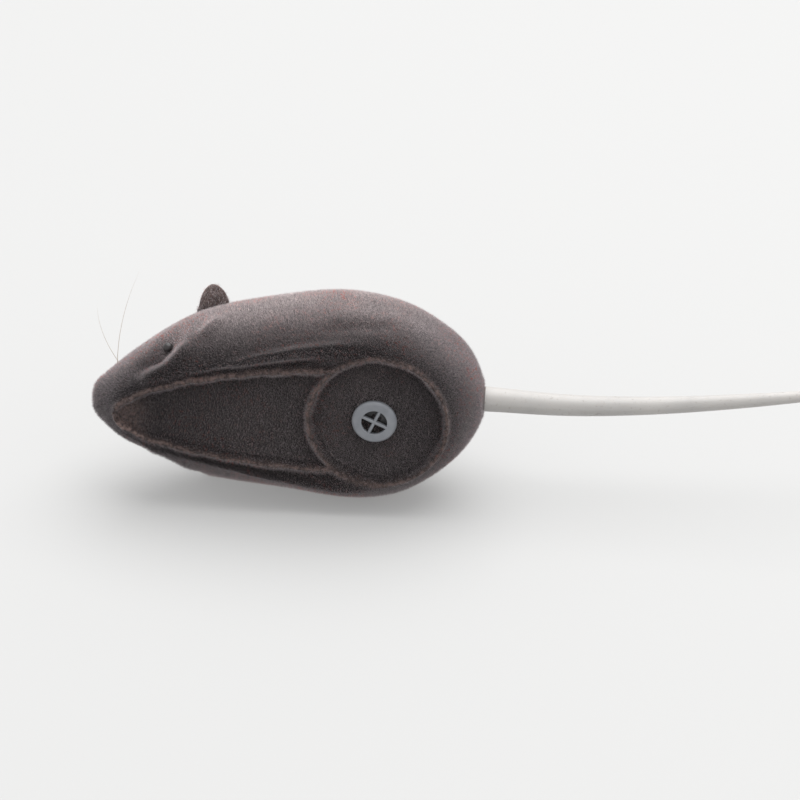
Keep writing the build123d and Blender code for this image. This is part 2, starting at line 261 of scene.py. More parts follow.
def painted_shade(tree, place, colour, kept):
    """Paints shade on a colour along each run; kept is the share of its light that stays where a run starts.
    """
    parts = tree.nodes.new("ShaderNodeSeparateXYZ")
    tree.links.new(place, parts.inputs[0])
    for (axis, first, length_mm), darkest in zip(PAINTED_SHADE_RUNS, kept):
        share = tree.nodes.new("ShaderNodeMapRange")
        share.inputs["From Min"].default_value = first
        share.inputs["From Max"].default_value = first + length_mm * MM
        tree.links.new(parts.outputs[axis], share.inputs["Value"])
        stops = [(0.05, (darkest, darkest, darkest * 1.03)), (1.0, (1, 1, 1))]
        shade = ramp(tree, share.outputs["Result"], stops)
        colour = blend_colours(tree, 1.0, colour, shade, "MULTIPLY")
    return colour


FLOCK_DARK = (0.050, 0.043, 0.044)
FLOCK_MIDDLE = (0.100, 0.088, 0.089)
FLOCK_PALE = (0.240, 0.208, 0.208)
FLOCK_RUST = (0.080, 0.024, 0.018)
FLOCK_WORN = (0.200, 0.142, 0.128)
# painted shade: the share of the ground's colour kept at the belly, the snout and the rump
FLOCK_SHADE_KEPT = (0.13, 0.60, 0.70)
WEAR = "wear"  # a point attribute: 1 on rims and ridges where the pile is rubbed thin


def make_flock():
    """The flock's finish. The rubbed places are read from the mesh."""
    material, tree, shader, place = new_material("flock")
    grain = noise(tree, place, 0.32, 3.0, 0.75)
    pile = ramp(tree, grain, [(0.34, FLOCK_DARK), (0.52, FLOCK_MIDDLE), (0.74, FLOCK_PALE)])
    rust_spots = ramp(tree, noise(tree, place, 0.45, 1.0), black_and_white(0.66, 0.74))
    rust_areas = ramp(tree, noise(tree, place, 7.0, 2.0), black_and_white(0.42, 0.66))
    rust = blend_colours(tree, 1.0, rust_spots, rust_areas, "MULTIPLY")
    colour = blend_colours(tree, rust, pile, FLOCK_RUST)
    drift = ramp(tree, noise(tree, place, 5.0, 3.0), [(0.3, (0.78, 0.78, 0.79)), (0.7, (1.12, 1.10, 1.09))])
    # painted shade towards the belly, the snout and the rump
    colour = painted_shade(tree, place, blend_colours(tree, 1.0, colour, drift, "MULTIPLY"), FLOCK_SHADE_KEPT)
    rubbed = tree.nodes.new("ShaderNodeAttribute")
    rubbed.attribute_name = WEAR
    broken = ramp(tree, noise(tree, place, 0.5, 2.0), [(0.35, (0.25, 0.25, 0.25)), (0.62, (1, 1, 1))])
    patch = blend_colours(tree, 1.0, rubbed.outputs["Color"], broken, "MULTIPLY")
    colour = blend_colours(tree, patch, colour, FLOCK_WORN)
    tree.links.new(colour, shader.inputs["Base Color"])
    shader.inputs["Roughness"].default_value = 0.95
    shader.inputs["Specular IOR Level"].default_value = 0.12
    shader.inputs["Sheen Weight"].default_value = 0.55
    shader.inputs["Sheen Roughness"].default_value = 0.38
    shader.inputs["Sheen Tint"].default_value = (0.95, 0.90, 0.90, 1.0)
    bump(tree, shader, grain, 0.22, 0.9)
    return material


flock = make_flock()
print("flock material ready")

# %% [markdown]
# ## The body's skin
# The design model holds the right form, but with plain machined edges. The skin is a new, even net of
# points: rays are shot inwards from all round on to the design shell, and where they land is the skin.
# Round caps at the nose and the rump keep the net even there. The flat belly is kept flat for now, and
# its sunken shapes are pressed in afterwards, so that their edges come out soft.

# %% Shoot the net on to the shell
AXIS_START = (9.5, 6.6)  # along and up, where the nose's cap is centred
AXIS_END = (45.0, 10.8)
NOSE_CAP = 8.5  # about how far the skin is from each end of that axis
RUMP_CAP = 14.0
NET_STEP = 0.30
NET_AROUND = 300
RAY_START = 0.06  # metres from the axis, well outside the shell
LEAST_REACH = 2.0  # a ray that lands nearer the axis went in through a hole
shell = frame["nodes"]["body_shell"]
shell_tree = BVHTree.FromPolygons(
    [vertex.co for vertex in shell.data.vertices], [tuple(face.vertices) for face in shell.data.polygons]
)


def net_rows():
    """For each ring of the net: where its rays start, and their angle from the nose's direction."""
    start, end = Vector((*AXIS_START, 0)), Vector((*AXIS_END, 0))
    nose_rows = round(NOSE_CAP * math.pi / 2 / NET_STEP)
    body_rows = round((end - start).length / NET_STEP)
    rump_rows = round(RUMP_CAP * math.pi / 2 / NET_STEP)
    rows = [(start, (row + 0.5) / nose_rows * 90) for row in range(nose_rows)]
    rows += [(start.lerp(end, (row + 0.5) / body_rows), 90) for row in range(body_rows)]
    rows += [(end, 90 + (row + 0.5) / rump_rows * 90) for row in range(rump_rows)]
    return rows


PAN_TIP = 3.3
PAN_SPREAD = 1.85
SQUEAKER_ALONG = (sum(v.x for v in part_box("squeaker_housing")) / 2 - NOSE_X) / MM
SEAT_ALONG = SQUEAKER_ALONG + 0.5
SEAT_RADIUS = 11.05


def pan_half_width(along):
    """Half the belly pan's width: a blunt point at the chin that widens and then runs straight."""
    run = np.maximum(along - PAN_TIP, 0.0)
    return PAN_SPREAD * np.sqrt(run) * (1 - 0.125 * (run / 28) ** 2)


def in_pan(along, out):
    """Whether a point of the belly plane is inside the pan's outline."""
    return (np.abs(out) < pan_half_width(along)) & (along > PAN_TIP)


PAN_EDGE = []  # half the pan's outline, its points closest together at the tip
for step in range(101):
    edge_along = PAN_TIP + 30 * (step / 90) ** 2
    PAN_EDGE.append((edge_along, float(pan_half_width(edge_along))))


def pan_distance(along, out):
    """How far a point of the belly plane is outside the pan's outline; negative inside."""
    nearest = np.full(along.shape, 1e9)
    for edge_along, edge_out in PAN_EDGE:
        nearest = np.minimum(nearest, np.hypot(along - edge_along, np.abs(out) - edge_out))
    return np.where(in_pan(along, out), -nearest, nearest)


def seat_distance(along, out):
    """How far a point of the belly plane is outside the round squeaker seat; negative inside."""
    return np.hypot(along - SEAT_ALONG, out) - SEAT_RADIUS


def land(start, direction):
    """Where a ray from the axis point start meets the shell's outside, with the belly kept flat."""
    way = Vector((direction.x, direction.y, direction.z))
    origin = at(*start) + way * RAY_START
    hit = shell_tree.ray_cast(origin, -way)[0]
    reach = (hit - at(*start)).dot(way) / MM if hit else 0.0
    if way.y < -1e-4:
        flat_reach = start.y / -way.y
        flat = start + way * flat_reach
        in_seat = seat_distance(flat.x, flat.z) < 0
        if in_seat or (flat.x < SEAT_ALONG and in_pan(flat.x, flat.z)):
            reach = flat_reach
    return reach if reach > LEAST_REACH else math.nan


rows = net_rows()
reaches = np.zeros((len(rows), NET_AROUND))
ways = np.zeros((len(rows), NET_AROUND, 3))
starts = np.zeros((len(rows), NET_AROUND, 3))
for row, (start, polar) in enumerate(rows):
    lean = math.radians(polar)
    for step in range(NET_AROUND):
        turn = 2 * math.pi * step / NET_AROUND
        way = Vector((-math.cos(lean), -math.sin(lean) * math.cos(turn), math.sin(lean) * math.sin(turn)))
        reaches[row, step] = land(start, way)
        ways[row, step] = way
        starts[row, step] = start
print("net:", len(rows), "rings of", NET_AROUND)

# %% [markdown]
# ## The ears' pockets, smoothed over
# The design shell has small pockets where the ears fold and holes where the eyes and the tail go in.
# On the real moulding the vinyl runs on smoothly, so the net bridges them from their edges, as a bent
# thin plate would. Then the place of each eye is smoothed more than the rest, ready for its hollow.

# %% Bridge the ear pockets and fair the net
ear_root = {LEFT: joint_at["ear_left_fold"], RIGHT: joint_at["ear_right_fold"]}


def net_points():
    """The net's points now, in millimetres on the mouse."""
    return starts + ways * reaches[..., None]


# A thin plate's balance: how much a point's own height and its neighbours' heights count.
PLATE = {(0, 0): 20.0}
PLATE.update({way: -8.0 for way in ((0, 1), (0, -1), (1, 0), (-1, 0))})
PLATE.update({way: 2.0 for way in ((1, 1), (1, -1), (-1, 1), (-1, -1))})
PLATE.update({way: 1.0 for way in ((0, 2), (0, -2), (2, 0), (-2, 0))})


def bridge(patch):
    """Fills a patch of the net so that it carries on the curve of the skin round it."""
    number = np.cumsum(patch.ravel()).reshape(patch.shape) - 1
    count = int(patch.sum())
    balance, known = np.zeros((count, count)), np.zeros(count)
    for row, step in np.argwhere(patch):
        here = number[row, step]
        for (down, over), weight in PLATE.items():
            beside = min(max(row + down, 0), len(rows) - 1), (step + over) % NET_AROUND
            if patch[beside]:
                balance[here, number[beside]] += weight
            else:
                known[here] -= weight * reaches[beside]
    reaches[patch] = np.linalg.solve(balance, known)
    return count


POCKET_SIZE = np.array([3.6, 4.2, 4.4])  # half the room round an ear's root, with what its leaf sweeps
holes = np.isnan(reaches)
reaches[holes] = np.nanmedian(reaches)
holes |= np.roll(holes, 1, 1) | np.roll(holes, -1, 1) | np.roll(holes, 1, 0) | np.roll(holes, -1, 0)
spots = net_points()
for side, root in ear_root.items():
    holes |= np.all(np.abs(spots - on_mouse(np.array(root))) < POCKET_SIZE, axis=-1)
print("bridged", bridge(holes), "points of the net")

# %% Smooth the net
EYE_SPOT = (11.0, 4.8, 9.6)
EYE_ROOM = np.array([6.0, 4.6, 5.0])  # half the room in which the eye's hole and flat are smoothed away
near_eye = np.all(np.abs(np.abs(spots) - EYE_SPOT) < EYE_ROOM, axis=-1)
for _ in range(40):
    above_below = np.roll(reaches, 1, 0) + np.roll(reaches, -1, 0)
    around = (above_below + np.roll(reaches, 1, 1) + np.roll(reaches, -1, 1)) / 4
    reaches[near_eye] = around[near_eye]
for _ in range(2):
    reaches[1:-1] = reaches[1:-1] * 0.5 + (reaches[:-2] + reaches[2:]) * 0.25
    reaches[:] = reaches * 0.5 + (np.roll(reaches, 1, 1) + np.roll(reaches, -1, 1)) * 0.25
print("smoothed", int(near_eye.sum()), "points round the eyes, and the whole net lightly")

# %% [markdown]
# ## Moulded shapes
# The mould gives the mouse its life: a ridge for the cheek, hollows for the eyes, a wrinkle behind the
# shoulder, thighs that stand clear of the belly rim, a sunken belly and a round seat. Each one is a line
# of a few points with a width and a height, and the skin moves along its own normal by a bell curve
# of the distance from that line. Both flanks get the same shapes, but on the side that it lies on they are
# pressed flatter, as its own weight does to soft vinyl.

# %% Functions that shape the skin
def normals_of(points):
    """Outward unit normals of the net."""
    along_way = np.gradient(points, axis=0)
    around_way = (np.roll(points, -1, 1) - np.roll(points, 1, 1)) / 2
    normal = np.cross(around_way, along_way)
    normal /= np.linalg.norm(normal, axis=-1, keepdims=True) + 1e-12
    facing = np.sum(normal * ways, axis=-1, keepdims=True)
    return np.where(facing < 0, -normal, normal)


def line_distance(points, line):
    """How far each point is from a line of points, on either flank, and how far along the line."""
    folded = points.copy()
    folded[..., 2] = np.abs(folded[..., 2])
    nearest = np.full(points.shape[:-1], 1e9)
    progress = np.zeros(points.shape[:-1])
    line = np.array(line, float)
    for number, (start, end) in enumerate(zip(line, line[1:])):
        run = end - start
        share = np.clip(((folded - start) @ run) / (run @ run), 0, 1)
        gap = np.linalg.norm(folded - (start + share[..., None] * run), axis=-1)
        closer = gap < nearest
        nearest = np.where(closer, gap, nearest)
        progress = np.where(closer, (number + share) / (len(line) - 1), progress)
    return nearest, progress


def fold(points, line, width, height):
    """How far a fold lifts the skin: a bell across the line that fades at its two ends."""
    gap, progress = line_distance(points, line)
    fade = ease(progress / 0.25) * ease((1 - progress) / 0.25) * 0.85 + 0.15
    return height * np.exp(-((gap / width) ** 2)) * fade


def dent(points, centre, sizes, height):
    """A round bulge, or a hollow if height is negative, with its own size along each axis."""
    folded = points.copy()
    folded[..., 2] = np.abs(folded[..., 2])
    gap = np.linalg.norm((folded - np.array(centre)) / np.array(sizes), axis=-1)
    return height * np.exp(-(gap ** 2))


print("shaping functions ready")

# %% Press the shapes into the net
PILE_THICKNESS = 0.34  # the design's surface is the tips of the pile, so the skin lies this far under it
FOLDS = {  # width, height (negative for a groove) and the line, all in millimetres on the mouse
    "cheek": (1.4, 0.95, [
        (7.5, 0.6, 5.4), (9.8, 0.9, 6.7), (12.2, 1.4, 8.3), (14.3, 2.7, 9.9), (15.4, 4.8, 11.0),
    ]),
    "groove over the cheek": (1.5, -0.6, [(7.0, 2.9, 6.2), (9.6, 3.2, 7.9), (11.6, 3.8, 9.1)]),
    "brow": (1.6, 0.35, [(9.5, 8.6, 7.6), (11.5, 9.4, 8.6), (14.0, 9.8, 9.8)]),
    "shoulder": (1.1, 0.5, [(16.8, 4.0, 12.0), (18.0, 5.4, 12.6), (20.2, 8.4, 13.4)]),
    "thigh": (0.95, 1.1, [
        (18.0, 0.3, 7.3), (23.8, 0.4, 9.0), (27.8, 0.7, 10.2), (32.4, 0.9, 11.2), (38.0, 0.9, 12.0),
        (43.0, 0.9, 12.5),
    ]),
    "groove inside the thigh": (0.75, -0.9, [
        (15.0, 0.2, 6.3), (22.0, 0.0, 8.1), (27.0, 0.0, 9.0), (32.0, 0.0, 9.7), (37.0, 0.0, 10.6),
    ]),
    "groove over the thigh": (1.2, -0.4, [
        (34.0, 2.9, 13.9), (39.0, 3.3, 14.5), (44.0, 3.8, 14.6), (47.0, 5.2, 14.6),
    ]),
}
DENTS = {  # centre, size along each axis, and height
    "haunch": ((46.0, 6.0, 14.0), (6.0, 4.5, 4.0), 0.3),
    "eye hollow": ((10.8, 3.4, 8.7), (3.0, 2.2, 2.4), -0.75),
}
skin = net_points()
normal = normals_of(skin)
lift = np.zeros(skin.shape[:-1])
for width, height, line in FOLDS.values():
    lift += fold(skin, line, width, height)
for centre, sizes, height in DENTS.values():
    lift += dent(skin, centre, sizes, height)
lift *= 0.5 + 0.5 * ease((skin[..., 2] + 4) / 8)  # the side it lies on is pressed smoother
under_pile = PILE_THICKNESS * (1 - 0.8 * ease((4 - skin[..., 0]) / 4))
skin = skin + normal * (lift - under_pile)[..., None]
print(len(FOLDS), "folds and", len(DENTS), "dents; highest", round(float(lift.max()), 2), "mm")

# %% [markdown]
# ## The sunken belly
# The pan and the round seat go in along the belly's own direction. A thin raised rim is left all round:
# that is the edge that it stands on, so the pile is worn pale on it, and under the chin it is rubbed too.

# %% Press in the pan and the seat
PAN_DEPTH = 1.0
SEAT_DEPTH = 1.3
RIM_WIDTH = 0.9
RIM_HEIGHT = 0.30
GROOVE_DEPTH = 0.35  # the shallow groove outside the pan's rim
EDGE = 0.3  # how far the walls of the pan and the seat slope
NO_EDGE = 9.0  # a distance at which an edge has no effect
along, up, out = skin[..., 0], skin[..., 1], skin[..., 2]
on_belly = ease((1.2 - up) / 0.8)
wobble = 0.10 * np.sin(along * 1.1 + 0.6) + 0.07 * np.sin(along * 2.7 + out)
pan_gap = np.where(along < SEAT_ALONG, pan_distance(along, out) + wobble, NO_EDGE)
seat_gap = seat_distance(along, out) + 0.6 * wobble
pan_part = ease((-pan_gap - RIM_WIDTH) / EDGE) * ease(seat_gap / 0.3 + 1)
seat_part = ease((-seat_gap - RIM_WIDTH) / EDGE)
tip_depth = 0.25 + 0.75 * ease((along - 4.5) / 9)
sink = np.maximum(PAN_DEPTH * pan_part * tip_depth, SEAT_DEPTH * seat_part)
rim_middle = np.minimum(
    np.where(seat_gap > 0, np.abs(pan_gap + RIM_WIDTH / 2), NO_EDGE), np.abs(seat_gap + RIM_WIDTH / 2)
)
rim = np.exp(-((rim_middle / (0.42 * RIM_WIDTH)) ** 2)) * on_belly
beside_rim = np.where(seat_gap > 0, np.abs(pan_gap - 0.5), NO_EDGE)
groove = np.exp(-((beside_rim / 0.5) ** 2)) * on_belly * (0.6 + 0.4 * ease((along - 10) / 6))
skin[..., 1] = up + (sink - RIM_HEIGHT * rim + GROOVE_DEPTH * groove) * on_belly
skin[..., 1] = np.maximum(skin[..., 1], PILE_THICKNESS - 0.1)
at_chin = ease((10 - along) / 4) * ease(0.5 - out)
rim_wear = (0.6 + 0.4 * at_chin) * np.clip(rim * 1.2, 0, 1) * (1 - np.clip(sink / 0.6, 0, 1))
chin_wear = 0.5 * ease((11 - along) / 6) * ease(-pan_gap) * on_belly
wear = np.maximum(rim_wear, chin_wear)
print("belly pressed in; deepest", round(float(sink.max()), 2), "mm")

# %% Make the skin piece
def to_frame(points):
    """Points in the frame, in metres, from millimetres on the mouse."""
    return points * MM + np.array([NOSE_X, BELLY_Y, MIDDLE_Z])


nose_pole = to_frame(skin[0].mean(axis=0) + np.array([-0.02, 0, 0]))
rump_pole = to_frame(skin[-1].mean(axis=0))
points, faces = rings_to_tube(list(to_frame(skin)), nose_pole, rump_pole)
body_skin = new_piece("body_skin", points, faces, flock)
face_outwards(body_skin)
rubbed = body_skin.data.attributes.new(WEAR, "FLOAT", "POINT")
rubbed.data.foreach_set("value", np.append(wear.ravel(), (0.0, 0.0)).astype(np.float32))
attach(body_skin, "body")
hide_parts("body_shell")
print("body skin:", len(body_skin.data.polygons), "faces")

# %% [markdown]
# ## The ears
# Each ear is a soft leaf, moulded in one with the head and flocked with it. It is rounder behind than in
# front, thins out to its tip and is slightly cupped towards the belly. The leaf is a stack of oval rings
# that flare out where they meet the head.

# %% Build the ears
EAR_LEAN = math.radians(15.0)
EAR_LENGTH = 5.0
EAR_HALF_WIDTH = 2.35
EAR_HALF_THICKNESS = 0.62
EAR_CUP = 0.55
EAR_ROOT_DEPTH = 1.6
EAR_WEAR = 0.75
EAR_ROWS = 46
EAR_AROUND = 56


def ear_ways(side):
    """Which way an ear's tip points, and which way is through the thickness of its leaf."""
    tip_way = Vector((0, -math.sin(EAR_LEAN), side * math.cos(EAR_LEAN)))
    thick_way = Vector((0, math.cos(EAR_LEAN), side * math.sin(EAR_LEAN)))
    return tip_way, thick_way


def ear_ring(share, side):
    """One oval ring of an ear, at a share of its length from the root (negative inside the head)."""
    held = min(max(share, 0.0), 1.0)
    flare = 1 + 0.55 * math.exp(-max(share, 0.0) * EAR_LENGTH / 0.55)
    front_width = EAR_HALF_WIDTH * (1 - held ** 2.1) ** 0.60
    rear_width = EAR_HALF_WIDTH * (1 - held ** 3.2) ** 0.52
    half_thick = EAR_HALF_THICKNESS * (1 - 0.38 * held) * (1 - held ** 7) ** 0.5 * flare
    tip_way, thick_way = ear_ways(side)
    ring = []
    for step in range(EAR_AROUND):
        turn = 2 * math.pi * step / EAR_AROUND
        half_width = rear_width if math.cos(turn) > 0 else front_width
        across = half_width * math.cos(turn) * (1 + 0.35 * (flare - 1))
        cup = EAR_CUP * held * ((across / EAR_HALF_WIDTH) ** 2 - 0.35)
        through = half_thick * math.sin(turn) - cup
        spot = Vector((across, 0, 0)) + tip_way * (share * EAR_LENGTH) + thick_way * through
        ring.append(ear_root[side] + spot * MM)
    return ring


def ear_fold(side):
    """Two points on an ear's line, a little inside and a little beyond its root."""
    tip_way = ear_ways(side)[0]
    return ear_root[side] - tip_way * 0.6 * MM, ear_root[side] + tip_way * 1.9 * MM


def make_ear(name, side, node):
    """An ear, as one piece of flocked skin."""
    first = -EAR_ROOT_DEPTH / EAR_LENGTH
    shares = [first + (0.999 - first) * (1 - (1 - row / EAR_ROWS) ** 1.5) for row in range(EAR_ROWS + 1)]
    rings = [ear_ring(share, side) for share in shares]
    middles = [sum(ring, Vector()) / EAR_AROUND for ring in (rings[0], rings[-1])]
    ear = new_piece(name, *rings_to_tube(rings, *middles), flock)
    face_outwards(ear)
    rubbed = ear.data.attributes.new(WEAR, "FLOAT", "POINT")
    tip_way = ear_ways(side)[0]
    far = np.array([(vertex.co - ear_root[side]).dot(tip_way) / MM for vertex in ear.data.vertices])
    rubbed.data.foreach_set("value", (EAR_WEAR * ease((far + 0.2) / 1.5)).astype(np.float32))
    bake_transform(ear)
    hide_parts(node)
    return ear


ears = [
    make_ear("ear_left_skin", LEFT, "ear_left"),
    make_ear("ear_right_skin", RIGHT, "ear_right"),
]
print("ears:", [len(ear.data.polygons) for ear in ears], "faces")

# %% [markdown]
# ## The pile
# Flocking shoots short cut fibres on to wet glue with an electric field, so each one stands on its end.
# The field leaves them a little scattered. Their colour carries painted shade: it is darker towards the
# belly, the snout and the rump, so the pile is palest on the back. Geometry Nodes scatters points over
# the skin, stands a thin spike on each, leans it by a random angle and joins them all into one mesh.
# Rubbed places get fewer.

# %% Pile material
FIBRE_DARK = (0.27, 0.238, 0.242)
FIBRE_MIDDLE = (0.62, 0.545, 0.545)
FIBRE_PALE = (0.96, 0.860, 0.850)
FIBRE_RUST = (0.66, 0.17, 0.12)
# painted shade: the share of the fibres' colour kept at the belly, the snout and the rump
FIBRE_SHADE_KEPT = (0.34, 0.58, 0.66)


def make_fibre_material():
    """Fibres that differ from one to the next, with a few rust brown ones in drifts."""
    material, tree, shader, place = new_material("flock_fibre")
    grain = noise(tree, place, 0.5, 3.0, 0.75)
    grey = ramp(tree, grain, [(0.32, FIBRE_DARK), (0.52, FIBRE_MIDDLE), (0.72, FIBRE_PALE)])
    rust_spots = ramp(tree, noise(tree, place, 0.5, 1.0), black_and_white(0.57, 0.66))
    rust_areas = ramp(tree, noise(tree, place, 7.0, 2.0), black_and_white(0.40, 0.66))
    rust = blend_colours(tree, 1.0, rust_spots, rust_areas, "MULTIPLY")
    colour = blend_colours(tree, rust, grey, FIBRE_RUST)
    # painted shade towards the belly, the snout and the rump
    tree.links.new(painted_shade(tree, place, colour, FIBRE_SHADE_KEPT), shader.inputs["Base Color"])
    shader.inputs["Roughness"].default_value = 0.7
    shader.inputs["Specular IOR Level"].default_value = 0.3
    return material


flock_fibre = make_fibre_material()
print("fibre material ready")

# %% Pile as Geometry Nodes
FIBRE_LENGTH = 0.42
FIBRE_RADIUS = 0.028
FIBRE_LEAN = 21.0
FIBRE_THINNING = 0.7  # the share of the fibres that a fully rubbed place has lost
FIBRES_PER_SQUARE_MM = 42.0


def make_pile_tree():
    """The node tree that grows the pile, and its inputs by name."""
    tree = bpy.data.node_groups.new("grow_pile", "GeometryNodeTree")
    sockets = {}
    for title, kind in (
        ("Skin", "NodeSocketGeometry"), ("Fibres per m2", "NodeSocketFloat"), ("Length", "NodeSocketFloat"),
        ("Radius", "NodeSocketFloat"), ("Lean", "NodeSocketFloat"), ("From X", "NodeSocketFloat"),
        ("To X", "NodeSocketFloat"), ("Seed", "NodeSocketInt"), ("Finish", "NodeSocketMaterial"),
    ):
        sockets[title] = tree.interface.new_socket(name=title, in_out="INPUT", socket_type=kind)
    tree.interface.new_socket(name="Pile", in_out="OUTPUT", socket_type="NodeSocketGeometry")
    given, result = tree.nodes.new("NodeGroupInput"), tree.nodes.new("NodeGroupOutput")
    scatter = tree.nodes.new("GeometryNodeDistributePointsOnFaces")
    position, parts = tree.nodes.new("GeometryNodeInputPosition"), tree.nodes.new("ShaderNodeSeparateXYZ")
    after, before = tree.nodes.new("FunctionNodeCompare"), tree.nodes.new("FunctionNodeCompare")
    both = tree.nodes.new("FunctionNodeBooleanMath")
    spike = tree.nodes.new("GeometryNodeMeshCone")
    opposite = tree.nodes.new("ShaderNodeMath")
    corner_low = tree.nodes.new("ShaderNodeCombineXYZ")
    corner_high = tree.nodes.new("ShaderNodeCombineXYZ")
    lean, size = tree.nodes.new("FunctionNodeRandomValue"), tree.nodes.new("FunctionNodeRandomValue")
    turn, tilt = tree.nodes.new("FunctionNodeEulerToRotation"), tree.nodes.new("FunctionNodeRotateRotation")
    stand = tree.nodes.new("GeometryNodeInstanceOnPoints")
    rubbed, left = tree.nodes.new("GeometryNodeInputNamedAttribute"), tree.nodes.new("ShaderNodeMath")
    thinned = tree.nodes.new("ShaderNodeMath")
    join, finish = tree.nodes.new("GeometryNodeRealizeInstances"), tree.nodes.new("GeometryNodeSetMaterial")
    after.operation, before.operation, both.operation = "GREATER_EQUAL", "LESS_THAN", "AND"
    spike.fill_type = "NONE"
    spike.inputs["Vertices"].default_value = 3
    opposite.operation = "MULTIPLY"
    opposite.inputs[1].default_value = -1.0
    rubbed.data_type = "FLOAT"
    rubbed.inputs["Name"].default_value = WEAR
    left.operation, thinned.operation = "MULTIPLY_ADD", "MULTIPLY"
    left.inputs[1].default_value, left.inputs[2].default_value = -FIBRE_THINNING, 1.0
    lean.data_type, size.data_type = "FLOAT_VECTOR", "FLOAT"
    size.inputs[2].default_value, size.inputs[3].default_value = 0.6, 1.15
    tilt.rotation_space = "LOCAL"
    links = (
        (given, "Skin", scatter, "Mesh"), (given, "Seed", scatter, "Seed"),
        (rubbed, 0, left, 0), (left, 0, thinned, 0),
        (given, "Fibres per m2", thinned, 1), (thinned, 0, scatter, "Density"),
        (position, "Position", parts, "Vector"), (parts, "X", after, "A"), (given, "From X", after, "B"),
        (parts, "X", before, "A"), (given, "To X", before, "B"),
        (after, "Result", both, 0), (before, "Result", both, 1), (both, 0, scatter, "Selection"),
        (given, "Radius", spike, "Radius Bottom"), (given, "Length", spike, "Depth"),
        (given, "Lean", opposite, 0), (given, "Lean", corner_high, "X"), (given, "Lean", corner_high, "Y"),
        (opposite, 0, corner_low, "X"), (opposite, 0, corner_low, "Y"), (corner_low, 0, lean, "Min"),
        (corner_high, 0, lean, "Max"), (given, "Seed", lean, "Seed"), (given, "Seed", size, "Seed"),
        (lean, "Value", turn, "Euler"), (scatter, "Rotation", tilt, "Rotation"), (turn, 0, tilt, "Rotate By"),
        (scatter, "Points", stand, "Points"), (spike, "Mesh", stand, "Instance"),
        (tilt, 0, stand, "Rotation"), (size, 1, stand, "Scale"),
        (stand, 0, join, 0), (join, 0, finish, "Geometry"),
        (given, "Finish", finish, "Material"), (finish, 0, result, 0),
    )
    for source, output, target, entry in links:
        tree.links.new(source.outputs[output], target.inputs[entry])
    return tree, sockets


pile_tree, pile_inputs = make_pile_tree()
print("pile tree:", len(pile_tree.nodes), "nodes")

# %% Grow the pile
FIBRE_CORNERS = 9  # three triangles


def lay_out_fibres(pile):
    """Gives each fibre its own small spot on a map wrapped round the mouse, for a stored finish."""
    mesh = pile.data
    points = np.zeros(len(mesh.vertices) * 3, np.float32)
    mesh.vertices.foreach_get("co", points)
    corners = np.zeros(len(mesh.loops), np.int32)
    mesh.loops.foreach_get("vertex_index", corners)
    where = on_mouse(points.reshape(-1, 3)[corners])
    roots = where.reshape(-1, FIBRE_CORNERS, 3).mean(axis=1)
    around = np.arctan2(roots[:, 2], roots[:, 1] - 10.0) / (2 * np.pi) + 0.5
    lengthways = np.clip((roots[:, 0] + 1) / (BODY_LENGTH + 2), 0, 1)
    spots = np.stack([0.01 + 0.98 * lengthways, 0.01 + 0.98 * around], 1)
    spots = np.repeat(spots, FIBRE_CORNERS, axis=0)
    nudge = (where - np.repeat(roots, FIBRE_CORNERS, axis=0)) * 0.004
    layer = mesh.uv_layers.new(name="OFBake")
    flat = spots + np.stack([nudge[:, 0] + 0.5 * nudge[:, 1], nudge[:, 2] + 0.5 * nudge[:, 1]], 1)
    layer.data.foreach_set("uv", np.clip(flat, 0, 1).astype(np.float32).ravel())


def grow_pile(name, skin_piece, from_x, to_x, seed):
    """Grows the pile on a skin, between two places along the mouse, as a mesh of its own."""
    carrier = bpy.data.objects.new(name + "_carrier", skin_piece.data)
    bpy.context.scene.collection.objects.link(carrier)
    modifier = carrier.modifiers.new("pile", "NODES")
    modifier.node_group = pile_tree
    for title, value in (
        ("Fibres per m2", FIBRES_PER_SQUARE_MM / MM ** 2), ("Length", FIBRE_LENGTH * MM),
        ("Radius", FIBRE_RADIUS * MM), ("Lean", math.radians(FIBRE_LEAN)),
        ("From X", from_x), ("To X", to_x), ("Seed", seed), ("Finish", flock_fibre),
    ):
        modifier[pile_inputs[title].identifier] = value
    depsgraph = bpy.context.evaluated_depsgraph_get()
    mesh = bpy.data.meshes.new_from_object(carrier.evaluated_get(depsgraph))
    bpy.data.objects.remove(carrier)
    pile = bpy.data.objects.new(name, mesh)
    mesh.name = name
    bpy.context.scene.collection.objects.link(pile)
    lay_out_fibres(pile)
    return pile


# The body's pile is cut into stretches, so that no piece is too heavy to handle.
PILE_CUTS = [at(along_cut, 0, 0).x for along_cut in (-1.0, 20.0, 31.0, 41.0, 50.0, 62.0)]
for number, (from_x, to_x) in enumerate(zip(PILE_CUTS, PILE_CUTS[1:]), 1):
    pile = grow_pile(f"body_pile_{number}", body_skin, from_x, to_x, number)
    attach(pile, "body")
    print(pile.name, len(pile.data.polygons), "faces")
for ear, side, body, seed in ((ears[0], LEFT, "left_ear", 11), (ears[1], RIGHT, "right_ear", 12)):
    pile = grow_pile(ear.name.replace("skin", "pile"), ear, PILE_CUTS[0], PILE_CUTS[-1], seed)
    start, end = ear_fold(side)
    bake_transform(pile)
    print(pile.name, len(pile.data.polygons), "faces")

# %% [markdown]
# ## The tail
# The tail is a separate moulding of smooth soft vinyl, plugged into the rump. It bends all along its
# length. A single tube would be one piece, but a piece can bend across one joint only, so the tube is
# cut in the middle of each stretch, where it does not bend, and the cuts meet exactly at every pose.

